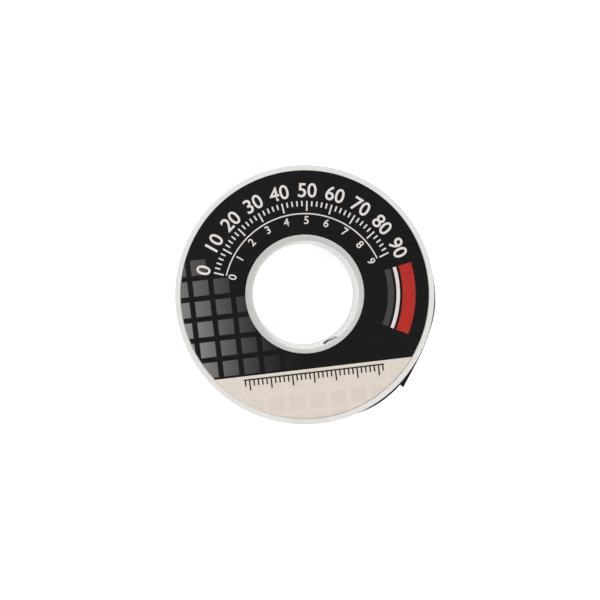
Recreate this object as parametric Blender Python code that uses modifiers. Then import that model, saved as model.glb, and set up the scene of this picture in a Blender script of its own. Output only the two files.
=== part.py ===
"""Solder wire spool, modelled piece by piece as it comes apart on a bench.

A bobbin moulded in halves carries a winding of flux-cored wire. A springy strip is wrapped round the
winding, and its loose tail lifts about a line at its root. Lengths are in metres. +Z is the spool's axis,
and the spool stands on the rim of its rear flange. Angles round the axis are in degrees, clockwise from
+X as seen from the label.
"""

import math

import bmesh
import bpy
import numpy as np

# Bobbin
FLANGE_DIAMETER = 0.0600
SPOOL_WIDTH = 0.0280
FLANGE_THICKNESS = 0.0018  # at the rim
FLANGE_SLOPE = 0.0004  # what the flange gains from the rim to the barrel
RIM_WIDTH = 0.00117  # raised bead round the label's recess
RIM_ROUND = 0.00025
BEAD_CHAMFER = 0.00012
LABEL_RECESS = 0.0003
BORE_DIAMETER = 0.0252  # at the throat of each mouth
BORE_DRAFT = 0.0001  # radius lost from a throat to the seam
MOUTH_CHAMFER = 0.0011  # from the face into the bore
BARREL_WALL = 0.0016
ROOT_FILLET = 0.0008
SEAM_HEIGHT = 0.0115  # where the half barrels butt
SPIGOT_LENGTH = 0.0040
SPIGOT_WALL = 0.0007
PLUG_CLEARANCE = 0.0001

# Label
LABEL_THICKNESS = 0.00015
LABEL_GLUE = 0.00005
LABEL_CLEARANCE = 0.0001

# Wire and its winding
WINDING_DIAMETER = 0.0550
WIRE_DIAMETER = 0.0005
TURN_GAP = 0.00045  # least room between neighbouring turns of the outer layer
MOST_TURNS = 24
TURN_POINTS = 24
WINDING_CLEARANCE = 0.0003

# Start end of the wire, through the barrel into the bore
START_HOLE_DIAMETER = 0.0012
START_HOLE_OFFSET = 0.0014  # from the front flange's root to the hole's middle
START_HOLE_DEG = 53.0
START_RUN = 0.0034  # length that lies along the bore wall
START_RUN_RISE = 0.0009
START_BEND = 0.0008
START_CLEARANCE = 0.0001

# Wrap strip and its tail
STRIP_THICKNESS = 0.00025
STRIP_MARGIN = 0.0022  # bare wire left between the strip and each flange
STRIP_SEAT = 0.0003  # from the wire to the strip
STRIP_LAYER_GAP = 0.00035
STRIP_LAP_DEG = 110.0
STRIP_TIP_DEG = 403.2  # one turn and a bit past +X
STRIP_STEP_DEG = 5.0
STRIP_SLACK = 0.0026  # how far the first lap stands off at its crest
SLACK_START_DEG = 0.0
SLACK_CREST_DEG = 50.0
SLACK_END_DEG = 104.0
OUTER_LAP_SHARE = 0.67  # of the slack, at which the outer lap rides over the first
OUTER_LAP_START_DEG = 270.0
OUTER_LAP_END_DEG = 360.0
RIPPLE = 0.00015  # where the outer lap bows past the rim
RIPPLE_DEG = 366.0
RIPPLE_HALF_DEG = 18.0
TAIL_ROOT_DEG = 387.5  # from here the tail springs out straight
TAIL_ROOT_GAP = 0.0003

# Facets
TURNED_STEPS = 64
ROUND_STEPS = 3
HOLE_SIDES = 16
BEND_STEPS = 4
RUN_STEPS = 6
CUT_OVERRUN = 0.0006  # how far a cutter passes the wall it cuts
SHARP_ANGLE = math.radians(35.0)

FLANGE_RADIUS = FLANGE_DIAMETER / 2
BORE_RADIUS = BORE_DIAMETER / 2
SEAM_BORE_RADIUS = BORE_RADIUS - BORE_DRAFT
BARREL_RADIUS = BORE_RADIUS + BARREL_WALL
FLANGE_ROOT = FLANGE_THICKNESS + FLANGE_SLOPE
SPIGOT_RADIUS = SEAM_BORE_RADIUS + SPIGOT_WALL
SPIGOT_TOP = SEAM_HEIGHT + SPIGOT_LENGTH
WIRE_RADIUS = WIRE_DIAMETER / 2
TURN_RADIUS = WINDING_DIAMETER / 2 - WIRE_RADIUS
TURN_DIP = TURN_RADIUS * (1 - math.cos(math.pi / TURN_POINTS))
START_HEIGHT = SPOOL_WIDTH - FLANGE_ROOT - START_HOLE_OFFSET
STRIP_START_DEG = STRIP_TIP_DEG - 360.0 - STRIP_LAP_DEG
STRIP_INNER_RADIUS = WINDING_DIAMETER / 2 + STRIP_SEAT + STRIP_THICKNESS / 2
STRIP_LAYER = STRIP_THICKNESS + STRIP_LAYER_GAP


def clear_scene():
    """Remove every object, so that the script can be run again."""
    for obj in list(bpy.data.objects):
        bpy.data.objects.remove(obj, do_unlink=True)


def new_collection(name):
    """Make a collection in the scene."""
    collection = bpy.data.collections.new(name)
    bpy.context.scene.collection.children.link(collection)
    return collection


def finish(name, colour, roughness, metallic=0.0):
    """Make a Principled material."""
    material = bpy.data.materials.new(name)
    material.use_nodes = True
    shader = material.node_tree.nodes["Principled BSDF"]
    shader.inputs["Base Color"].default_value = (*colour, 1.0)
    shader.inputs["Roughness"].default_value = roughness
    shader.inputs["Metallic"].default_value = metallic
    return material


def polar(radius, degrees, height):
    """A point at an angle that runs clockwise from +X."""
    angle = math.radians(-degrees)
    return (radius * math.cos(angle), radius * math.sin(angle), height)


def arc(centre, radius, start_deg, end_deg, steps):
    """Points of an arc in the plane of a profile."""
    points = []
    for i in range(steps + 1):
        angle = math.radians(start_deg + (end_deg - start_deg) * i / steps)
        points.append((centre[0] + radius * math.cos(angle), centre[1] + radius * math.sin(angle)))
    return points


def flange_inner_depth(radius):
    """How far the flange's inner face lies below its outer one, at a radius."""
    outer = FLANGE_RADIUS - RIM_ROUND
    inner = BARREL_RADIUS + ROOT_FILLET
    return FLANGE_THICKNESS + FLANGE_SLOPE * (outer - radius) / (outer - inner)


def flange_outline():
    """Radius and depth from the label's recess round the rim to the barrel."""
    bead = FLANGE_RADIUS - RIM_WIDTH
    rim = FLANGE_RADIUS - RIM_ROUND
    points = [(bead, LABEL_RECESS), (bead, BEAD_CHAMFER), (bead + BEAD_CHAMFER, 0.0)]
    points += arc((rim, RIM_ROUND), RIM_ROUND, -90, 0, ROUND_STEPS)
    points += arc((rim, FLANGE_THICKNESS - RIM_ROUND), RIM_ROUND, 0, 90, ROUND_STEPS)
    root = (BARREL_RADIUS + ROOT_FILLET, FLANGE_ROOT + ROOT_FILLET)
    points += arc(root, ROOT_FILLET, 270, 180, ROUND_STEPS)
    return points


def mouth_outline():
    """Radius and depth from the bore's throat up its chamfer to the label's recess."""
    return [(BORE_RADIUS, LABEL_RECESS + MOUTH_CHAMFER), (BORE_RADIUS + MOUTH_CHAMFER, LABEL_RECESS)]


def plain_mesh(obj, collection):
    """Replace an object by a plain mesh of what its modifiers make, shaded smooth but for sharp edges."""
    graph = bpy.context.evaluated_depsgraph_get()
    mesh = bpy.data.meshes.new_from_object(obj.evaluated_get(graph))
    mesh.shade_smooth()
    mesh.set_sharp_from_angle(angle=SHARP_ANGLE)
    name = obj.name
    material = obj.data.materials[0]
    bpy.data.objects.remove(obj, do_unlink=True)
    plain = bpy.data.objects.new(name, mesh)
    mesh.materials.clear()
    mesh.materials.append(material)
    collection.objects.link(plain)
    return plain


def turned(name, profile, material, collection):
    """Turn a closed profile, whose outer side runs from top to bottom, round the spool's axis."""
    count = len(profile)
    mesh = bpy.data.meshes.new(name)
    corners = [(radius, 0.0, height) for radius, height in profile]
    mesh.from_pydata(corners, [(i, (i + 1) % count) for i in range(count)], [])
    mesh.materials.append(material)
    obj = bpy.data.objects.new(name, mesh)
    collection.objects.link(obj)
    screw = obj.modifiers.new("turn", "SCREW")
    screw.axis = "Z"
    screw.steps = TURNED_STEPS
    screw.render_steps = TURNED_STEPS
    screw.merge_threshold = 0.00001
    return plain_mesh(obj, collection)


def start_hole_cutter(collection):
    """A radial cylinder through the barrel wall, where the wire's start end passes."""
    middle = BARREL_RADIUS - BARREL_WALL / 2
    bpy.ops.mesh.primitive_cylinder_add(
        vertices=HOLE_SIDES,
        radius=START_HOLE_DIAMETER / 2,
        depth=BARREL_WALL + 2 * CUT_OVERRUN,
        location=polar(middle, START_HOLE_DEG, START_HEIGHT),
        rotation=(0.0, math.radians(90), math.radians(-START_HOLE_DEG)),
    )
    cutter = bpy.context.active_object
    cutter.name = "start_hole_cutter"
    for old in list(cutter.users_collection):
        old.objects.unlink(cutter)
    collection.objects.link(cutter)
    cutter.hide_render = True
    cutter.display_type = "WIRE"
    return cutter


def front_half(material, collection, cutters):
    """Front flange and its half barrel, with the socket and the wire's start hole."""
    profile = [(radius, SPOOL_WIDTH - depth) for radius, depth in flange_outline()]
    socket = SPIGOT_RADIUS + PLUG_CLEARANCE
    profile.append((BARREL_RADIUS, SEAM_HEIGHT + PLUG_CLEARANCE))
    profile.append((socket, SEAM_HEIGHT + PLUG_CLEARANCE))
    profile.append((socket, SPIGOT_TOP + PLUG_CLEARANCE))
    profile.append((SEAM_BORE_RADIUS, SPIGOT_TOP + PLUG_CLEARANCE))
    profile += [(radius, SPOOL_WIDTH - depth) for radius, depth in mouth_outline()]
    half = turned("front_half", profile, material, collection)
    cut = half.modifiers.new("start hole", "BOOLEAN")
    cut.operation = "DIFFERENCE"
    cut.solver = "EXACT"
    cut.object = start_hole_cutter(cutters)
    return half


def rear_half(material, collection):
    """Rear flange and its half barrel, with the spigot that plugs into the front half."""
    profile = [(SPIGOT_RADIUS, SPIGOT_TOP), (SPIGOT_RADIUS, SEAM_HEIGHT), (BARREL_RADIUS, SEAM_HEIGHT)]
    profile += reversed(flange_outline())
    profile += reversed(mouth_outline())
    profile.append((SEAM_BORE_RADIUS, SPIGOT_TOP))
    return turned("rear_half", profile, material, collection)


def front_label(material, collection):
    """The die-cut label, glued in the front flange's recess."""
    inner = BORE_RADIUS + MOUTH_CHAMFER + LABEL_CLEARANCE
    outer = FLANGE_RADIUS - RIM_WIDTH - LABEL_CLEARANCE
    low = SPOOL_WIDTH - LABEL_RECESS + LABEL_GLUE
    high = low + LABEL_THICKNESS
    profile = [(inner, high), (outer, high), (outer, low), (inner, low)]
    return turned("front_label", profile, material, collection)


def wire_winding(material, collection):
    """The wire's inner layers, as a plain core between the flanges."""
    inner = BARREL_RADIUS + WINDING_CLEARANCE
    shoulder = inner + ROOT_FILLET
    outer = TURN_RADIUS - TURN_DIP - WIRE_RADIUS - WINDING_CLEARANCE
    side = [
        (outer, flange_inner_depth(outer) + WINDING_CLEARANCE),
        (shoulder, flange_inner_depth(shoulder) + WINDING_CLEARANCE),
        (inner, FLANGE_ROOT + ROOT_FILLET + WINDING_CLEARANCE),
    ]
    profile = [(radius, SPOOL_WIDTH - depth) for radius, depth in reversed(side)]
    profile += side
    return turned("wire_winding", profile, material, collection)


def wire_tube(name, points, material, collection):
    """A round wire along points."""
    curve = bpy.data.curves.new(name, "CURVE")
    curve.dimensions = "3D"
    curve.twist_mode = "Z_UP"
    curve.bevel_depth = WIRE_RADIUS
    curve.bevel_resolution = 1
    curve.use_fill_caps = True
    spline = curve.splines.new("POLY")
    spline.points.add(len(points) - 1)
    for place, point in zip(spline.points, points):
        place.co = (*point, 1.0)
    curve.materials.append(material)
    wire = bpy.data.objects.new(name, curve)
    collection.objects.link(wire)
    return wire


def least_gap(points, near):
    """Least room between stretches of a wire that lie more than so many points apart."""
    path = np.array(points)
    least = math.inf
    for i in range(len(path) - near):
        apart = np.linalg.norm(path[i + near :] - path[i], axis=1)
        least = min(least, float(apart.min()))
    return least - WIRE_DIAMETER


def wire_outer_layer(material, collection):
    """The outer layer of turns, one unbroken helix from flange to flange."""
    low = flange_inner_depth(TURN_RADIUS) + WINDING_CLEARANCE + WIRE_RADIUS
    rise = SPOOL_WIDTH - 2 * low
    turns = min(MOST_TURNS, int(rise / (WIRE_DIAMETER + TURN_GAP)))
    count = turns * TURN_POINTS
    points = []
    for i in range(count + 1):
        points.append(polar(TURN_RADIUS, 360.0 * i / TURN_POINTS, low + rise * i / count))
    gap = least_gap(points, TURN_POINTS // 2)
    print(f"wire_outer_layer: {turns} turns, least gap to itself {gap * 1000:.2f} mm")
    return wire_tube("wire_outer_layer", points, material, collection)


def wire_start_end(material, collection):
    """The wire's first end: in through the barrel's hole, then along the bore wall."""
    run_radius = SEAM_BORE_RADIUS * math.cos(math.pi / TURNED_STEPS) - WIRE_RADIUS - START_CLEARANCE
    route = [(BARREL_RADIUS, 0.0, 0.0)]
    for i in range(BEND_STEPS + 1):
        turn = math.radians(90.0) * i / BEND_STEPS
        inward = run_radius + START_BEND * (1 - math.sin(turn))
        route.append((inward, START_BEND * (1 - math.cos(turn)), 0.0))
    for i in range(1, RUN_STEPS + 1):
        share = i / RUN_STEPS
        route.append((run_radius, START_BEND + START_RUN * share, START_RUN_RISE * share * share))
    points = []
    for radius, along, up in route:
        degrees = START_HOLE_DEG + math.degrees(along / run_radius)
        points.append(polar(radius, degrees, START_HEIGHT + up))
    return wire_tube("wire_start_end", points, material, collection)


def eased(share):
    """A share from 0 to 1 that leaves 0 and reaches 1 gently."""
    return 0.5 - 0.5 * math.cos(math.pi * min(1.0, max(0.0, share)))


def strip_slack(degrees):
    """How far the strip stands off: the first lap bulges, and the outer lap rides over it."""
    rise = (degrees - SLACK_START_DEG) / (SLACK_CREST_DEG - SLACK_START_DEG)
    fall = (SLACK_END_DEG - degrees) / (SLACK_END_DEG - SLACK_CREST_DEG)
    over = (degrees - OUTER_LAP_START_DEG) / (OUTER_LAP_END_DEG - OUTER_LAP_START_DEG)
    near_ripple = 1.0 - abs(degrees - RIPPLE_DEG) / RIPPLE_HALF_DEG
    slack = STRIP_SLACK * (eased(min(rise, fall)) + OUTER_LAP_SHARE * eased(over))
    return slack + RIPPLE * eased(near_ripple)


def strip_radius(degrees):
    """Radius of the strip's mid surface, along its whole wound length and its straight tail."""
    if degrees > TAIL_ROOT_DEG:
        return strip_radius(TAIL_ROOT_DEG) / math.cos(math.radians(degrees - TAIL_ROOT_DEG))
    wound = STRIP_INNER_RADIUS + STRIP_LAYER * (degrees - STRIP_START_DEG) / 360.0
    return wound + strip_slack(degrees)


def strip_band(name, start_deg, end_deg, origin, material, collection):
    """A stretch of the strip, as a bent sheet with its thickness."""
    low = flange_inner_depth(STRIP_INNER_RADIUS) + STRIP_MARGIN
    steps = math.ceil((end_deg - start_deg) / STRIP_STEP_DEG)
    sheet = bmesh.new()
    edge_points = []
    for i in range(steps + 1):
        degrees = start_deg + (end_deg - start_deg) * i / steps
        x, y, z = polar(strip_radius(degrees), degrees, low)
        edge_points.append(sheet.verts.new((x - origin[0], y - origin[1], z - origin[2])))
    edges = [sheet.edges.new(pair) for pair in zip(edge_points, edge_points[1:])]
    drawn = bmesh.ops.extrude_edge_only(sheet, edges=edges)
    raised = [item for item in drawn["geom"] if isinstance(item, bmesh.types.BMVert)]
    bmesh.ops.translate(sheet, verts=raised, vec=(0.0, 0.0, SPOOL_WIDTH - 2 * low))
    mesh = bpy.data.meshes.new(name)
    sheet.to_mesh(mesh)
    sheet.free()
    mesh.materials.append(material)
    mesh.shade_smooth()
    band = bpy.data.objects.new(name, mesh)
    band.location = origin
    collection.objects.link(band)
    wall = band.modifiers.new("thickness", "SOLIDIFY")
    wall.thickness = STRIP_THICKNESS
    wall.offset = 0.0
    wall.use_even_offset = True
    return band


def wrap_strip(material, collection):
    """The strip's wound length, which ends just short of the line where its tail lifts."""
    stop = TAIL_ROOT_DEG - math.degrees(TAIL_ROOT_GAP / strip_radius(TAIL_ROOT_DEG))
    return strip_band("wrap_strip", STRIP_START_DEG, stop, (0.0, 0.0, 0.0), material, collection)


def wrap_strip_tail(material, collection):
    """The loose tail, with its origin on the line that it lifts about."""
    root = polar(strip_radius(TAIL_ROOT_DEG), TAIL_ROOT_DEG, 0.0)
    print(f"wrap_strip_tail: lifts about x {root[0] * 1000:.3f} mm, y {root[1] * 1000:.3f} mm")
    return strip_band("wrap_strip_tail", TAIL_ROOT_DEG, STRIP_TIP_DEG, root, material, collection)


def main():
    clear_scene()
    parts = new_collection("solder wire spool")
    cutters = new_collection("cutters")
    plastic = finish("white spool plastic", (0.78, 0.77, 0.74), 0.40)
    front_half(plastic, parts, cutters)
    rear_half(plastic.copy(), parts)
    front_label(finish("black label film", (0.014, 0.013, 0.013), 0.35), parts)
    solder = finish("drawn solder", (0.58, 0.58, 0.59), 0.32, 1.0)
    wire_winding(solder, parts)
    wire_outer_layer(solder.copy(), parts)
    wire_start_end(solder.copy(), parts)
    strip = finish("dark strip plastic", (0.020, 0.019, 0.019), 0.45)
    wrap_strip(strip, parts)
    wrap_strip_tail(strip.copy(), parts)


main()
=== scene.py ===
"""Dress the solder wire spool: moulded bobbin, printed label, close-wound wire and wrap strip.

Lengths are in metres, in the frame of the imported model: +Z is the spool's axis, the label faces +Z,
+X is right and +Y is up in the photograph. Angles round the axis are in degrees, clockwise from +X
as seen from the label.
"""

import logging
import math
import random
from dataclasses import dataclass
from enum import Enum
from typing import Optional, Sequence

import bmesh
import bpy
from mathutils import Matrix, Vector


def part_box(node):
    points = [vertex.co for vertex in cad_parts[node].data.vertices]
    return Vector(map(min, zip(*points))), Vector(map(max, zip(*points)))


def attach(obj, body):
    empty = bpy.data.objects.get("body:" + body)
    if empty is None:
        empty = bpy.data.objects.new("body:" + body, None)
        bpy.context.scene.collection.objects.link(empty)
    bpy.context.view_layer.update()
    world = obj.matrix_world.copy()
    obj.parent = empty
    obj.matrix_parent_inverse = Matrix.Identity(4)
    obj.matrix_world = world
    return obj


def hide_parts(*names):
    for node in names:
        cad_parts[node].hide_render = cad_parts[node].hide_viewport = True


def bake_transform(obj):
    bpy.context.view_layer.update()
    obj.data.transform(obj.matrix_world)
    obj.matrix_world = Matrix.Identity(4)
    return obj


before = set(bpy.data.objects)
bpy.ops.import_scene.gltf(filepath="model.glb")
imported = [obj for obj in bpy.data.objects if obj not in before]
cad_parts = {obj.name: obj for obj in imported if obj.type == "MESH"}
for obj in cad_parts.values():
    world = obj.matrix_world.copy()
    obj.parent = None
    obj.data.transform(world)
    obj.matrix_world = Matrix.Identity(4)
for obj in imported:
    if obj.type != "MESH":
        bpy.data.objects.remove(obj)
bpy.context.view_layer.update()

MM = 0.001
log = logging.getLogger("solder_wire_spool")

Point2 = tuple[float, float]
Point3 = tuple[float, float, float]
Colour = tuple[float, float, float]
Station = tuple[Vector, Vector, Vector]

# Edges that turn by more than this stay sharp in the shading.
SHARP_DEG = 32.0
# Straight runs in a rounded corner of a profile.
CORNER_STEPS = 4
# Map in metres along and across a swept piece.
RUN_MAP = "run"
# How far the label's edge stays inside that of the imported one.
LABEL_TRIM = 0.07 * MM
# Range that most of a noise pattern lies in.
NOISE_SPAN: Point2 = (0.3, 0.7)
# Step from the corner of a printed square's cell to its middle, in cells.
HALF_CELL: Point3 = (0.5, 0.5, 0.0)
BRIGHT_SOLDER: Colour = (0.66, 0.655, 0.65)


class Body(Enum):
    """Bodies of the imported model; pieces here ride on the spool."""

    SPOOL = "spool"
    TAIL = "strip_tail"


class Slot(Enum):
    """Names of material slots."""

    PLASTIC = "spool_plastic"
    LABEL = "label_film"
    SOLDER = "solder"
    STRIP = "strip_plastic"


# Shapes


def clockwise(radius: float, degrees: float, height: float) -> Vector:
    """Find a point round the spool's axis.

    Args:
        radius: Distance from the axis.
        degrees: Angle, clockwise from +X as seen from the label.
        height: Distance above the floor.

    Returns:
        The point in the shared frame.
    """
    angle = math.radians(-degrees)
    return Vector((radius * math.cos(angle), radius * math.sin(angle), height))


def arc(centre: Point2, radius: float, start: float, end: float, steps: int) -> list[Point2]:
    """Draw an arc in a flat plane.

    Args:
        centre: Middle of the arc.
        radius: Its radius.
        start: First angle in degrees.
        end: Last angle in degrees.
        steps: Number of straight runs.

    Returns:
        The arc's points, ends included.
    """
    points = []
    for i in range(steps + 1):
        angle = math.radians(start + (end - start) * i / steps)
        points.append((centre[0] + radius * math.cos(angle), centre[1] + radius * math.sin(angle)))
    return points


def eased(share: float) -> float:
    """Ease a share from 0 to 1, held at both ends."""
    return 0.5 - 0.5 * math.cos(math.pi * min(1.0, max(0.0, share)))


def rounded_corner(before: Point2, corner: Point2, after: Point2, reach: float) -> list[Point2]:
    """Round a corner of a profile.

    Args:
        before: Point that the profile comes from.
        corner: The sharp corner.
        after: Point that the profile goes on to.
        reach: How far from the corner the round starts and ends.

    Returns:
        Points of the rounded corner.
    """
    start = Vector(corner) + (Vector(before) - Vector(corner)).normalized() * reach
    end = Vector(corner) + (Vector(after) - Vector(corner)).normalized() * reach
    points = []
    for i in range(CORNER_STEPS + 1):
        share = i / CORNER_STEPS
        first, last = start.lerp(Vector(corner), share), Vector(corner).lerp(end, share)
        points.append(tuple(first.lerp(last, share)))
    return points


def shade(mesh: bpy.types.Mesh) -> None:
    """Shade a mesh smooth, apart from its sharp edges."""
    mesh.shade_smooth()
    mesh.set_sharp_from_angle(angle=math.radians(SHARP_DEG))


def new_object(name: str, shape: bmesh.types.BMesh) -> bpy.types.Object:
    """Turn a finished bmesh into a shaded object in the scene.

    Args:
        name: Piece name.
        shape: Mesh under construction, which is freed.

    Returns:
        The new object.
    """
    bmesh.ops.recalc_face_normals(shape, faces=shape.faces)
    mesh = bpy.data.meshes.new(name)
    shape.to_mesh(mesh)
    shape.free()
    shade(mesh)
    made = bpy.data.objects.new(name, mesh)
    bpy.context.scene.collection.objects.link(made)
    return made


def spin(profile: Sequence[Point2], steps: int, closed: bool) -> bmesh.types.BMesh:
    """Turn a profile round the spool's axis.

    Args:
        profile: Radius and height of each corner, in order.
        steps: Facets in a full turn.
        closed: Whether the last corner joins the first.

    Returns:
        The turned mesh, under construction.
    """
    shape = bmesh.new()
    corners = [shape.verts.new((radius, 0.0, height)) for radius, height in profile]
    first = 0 if closed else 1
    edges = [shape.edges.new((corners[i - 1], corners[i])) for i in range(first, len(corners))]
    bmesh.ops.spin(
        shape,
        geom=corners + edges,
        axis=(0.0, 0.0, 1.0),
        cent=(0.0, 0.0, 0.0),
        angle=2.0 * math.pi,
        steps=steps,
        use_merge=True,
    )
    return shape


def lathe(name: str, profile: Sequence[Point2], steps: int) -> bpy.types.Object:
    """Turn a closed profile into a solid piece.

    Args:
        name: Piece name.
        profile: Radius and height of each corner, in order round the section.
        steps: Facets in a full turn.

    Returns:
        The turned piece.
    """
    made = new_object(name, spin(profile, steps, closed=True))
    even = made.modifiers.new("even_shading", "WEIGHTED_NORMAL")
    even.keep_sharp = True
    return made


def sweep(name: str, stations: Sequence[Station], section: Sequence[Point2]) -> bpy.types.Object:
    """Draw a closed section along a path, with flat caps and a map in metres along and across.

    Args:
        name: Piece name.
        stations: Point, sideways direction and upward direction at each step.
        section: Sideways and upward offset of each corner of the section.

    Returns:
        The swept piece.
    """
    shape = bmesh.new()
    mapped = shape.loops.layers.uv.new(RUN_MAP)
    rings = []
    lengths = [0.0]
    for i, (point, side, up) in enumerate(stations):
        rings.append([shape.verts.new(point + side * a + up * b) for a, b in section])
        if i:
            lengths.append(lengths[-1] + (point - stations[i - 1][0]).length)
    count = len(section)
    for i in range(len(rings) - 1):
        for j in range(count):
            k = (j + 1) % count
            face = shape.faces.new((rings[i][j], rings[i][k], rings[i + 1][k], rings[i + 1][j]))
            places = ((i, j), (i, k), (i + 1, k), (i + 1, j))
            for loop, (row, column) in zip(face.loops, places):
                loop[mapped].uv = (lengths[row], section[column][1])
    for ring in (rings[0], rings[-1]):
        shape.faces.new(ring)
    return new_object(name, shape)


def stations_of(points: Sequence[Vector]) -> list[Station]:
    """Frame each point of a path that never runs straight up.

    Args:
        points: The path.

    Returns:
        Each point with its sideways and upward directions, square to the path.
    """
    framed = []
    last = len(points) - 1
    for i, point in enumerate(points):
        ahead = (points[min(i + 1, last)] - points[max(i - 1, 0)]).normalized()
        up = (Vector((0.0, 0.0, 1.0)) - ahead * ahead.z).normalized()
        framed.append((point, up.cross(ahead), up))
    return framed


def round_section(radius: float, sides: int) -> list[Point2]:
    """Corners of a round wire's section."""
    return arc((0.0, 0.0), radius, 0.0, 360.0 * (sides - 1) / sides, sides - 1)


def prisms(name: str, outlines: Sequence[Sequence[Point2]], low: float, high: float) -> bpy.types.Object:
    """Raise flat outlines into thin prints.

    Args:
        name: Piece name.
        outlines: Corners of each print, in order round it.
        low: Height of its underside.
        high: Height of its face.

    Returns:
        One piece that holds every print.
    """
    shape = bmesh.new()
    for outline in outlines:
        under = [shape.verts.new((x, y, low)) for x, y in outline]
        over = [shape.verts.new((x, y, high)) for x, y in outline]
        shape.faces.new(over)
        shape.faces.new(list(reversed(under)))
        for i in range(len(outline)):
            shape.faces.new((under[i - 1], under[i], over[i], over[i - 1]))
    return new_object(name, shape)


def arc_band(inner: float, outer: float, start: float, end: float, steps: int) -> list[Point2]:
    """Outline of a band between two radii.

    Args:
        inner: Inner radius.
        outer: Outer radius.
        start: First angle, clockwise in degrees.
        end: Last angle, clockwise in degrees.
        steps: Straight runs along each side.

    Returns:
        Corners of the band.
    """
    return arc((0.0, 0.0), outer, -start, -end, steps) + arc((0.0, 0.0), inner, -end, -start, steps)


def fatten(shape: bmesh.types.BMesh, reach: float) -> None:
    """Move the upright sides of flat prints outward, so that strokes grow and counters shrink.

    Args:
        shape: Prints that lie flat, with upright sides.
        reach: How far each side moves.
    """
    upright, sharpest = 0.5, 0.4
    bmesh.ops.recalc_face_normals(shape, faces=shape.faces)
    moves = []
    for corner in shape.verts:
        sides = [face.normal for face in corner.link_faces if abs(face.normal.z) < upright]
        if sides:
            first, last = sides[0], sides[-1]
            moves.append((corner, (first + last) * (reach / max(sharpest, 1.0 + first.dot(last)))))
    for corner, move in moves:
        corner.co += move


def cut(piece: bpy.types.Object, cutter: bpy.types.Object) -> None:
    """Cut one closed mesh out of another, and remove the cutter.

    Args:
        piece: What is cut. Its mesh is replaced.
        cutter: What is taken away.
    """
    boolean = piece.modifiers.new("cut", "BOOLEAN")
    boolean.operation = "DIFFERENCE"
    boolean.solver = "EXACT"
    boolean.object = cutter
    piece.modifiers.move(len(piece.modifiers) - 1, 0)
    for other in piece.modifiers[1:]:
        other.show_viewport = False
    graph = bpy.context.evaluated_depsgraph_get()
    mesh = bpy.data.meshes.new_from_object(piece.evaluated_get(graph))
    piece.modifiers.remove(boolean)
    for other in piece.modifiers:
        other.show_viewport = True
    shade(mesh)
    piece.data = mesh
    bpy.data.objects.remove(cutter, do_unlink=True)


def rod(name: str, start: Vector, end: Vector, radius: float, sides: int) -> bpy.types.Object:
    """Make a straight round rod between two points.

    Args:
        name: Object name.
        start: Middle of one end.
        end: Middle of the other end.
        radius: Its radius.
        sides: Facets round it.

    Returns:
        The rod.
    """
    shape = bmesh.new()
    along = end - start
    place = Matrix.Translation((start + end) / 2) @ along.to_track_quat("Z", "Y").to_matrix().to_4x4()
    bmesh.ops.create_cone(
        shape,
        cap_ends=True,
        segments=sides,
        radius1=radius,
        radius2=radius,
        depth=along.length,
        matrix=place,
    )
    return new_object(name, shape)


def paint(piece: bpy.types.Object, material: bpy.types.Material) -> None:
    """Give a piece one material."""
    piece.data.materials.clear()
    piece.data.materials.append(material)


def seat(
    piece: bpy.types.Object, material: bpy.types.Material, replaced: Sequence[str] = ()
) -> None:
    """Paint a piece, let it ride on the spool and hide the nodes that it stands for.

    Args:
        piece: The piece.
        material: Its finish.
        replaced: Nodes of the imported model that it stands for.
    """
    paint(piece, material)
    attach(piece, Body.SPOOL.value)
    if replaced:
        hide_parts(*replaced)
    log.info("%s rides on %s, %d faces", piece.name, Body.SPOOL.value, len(piece.data.polygons))


# Finishes


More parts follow.
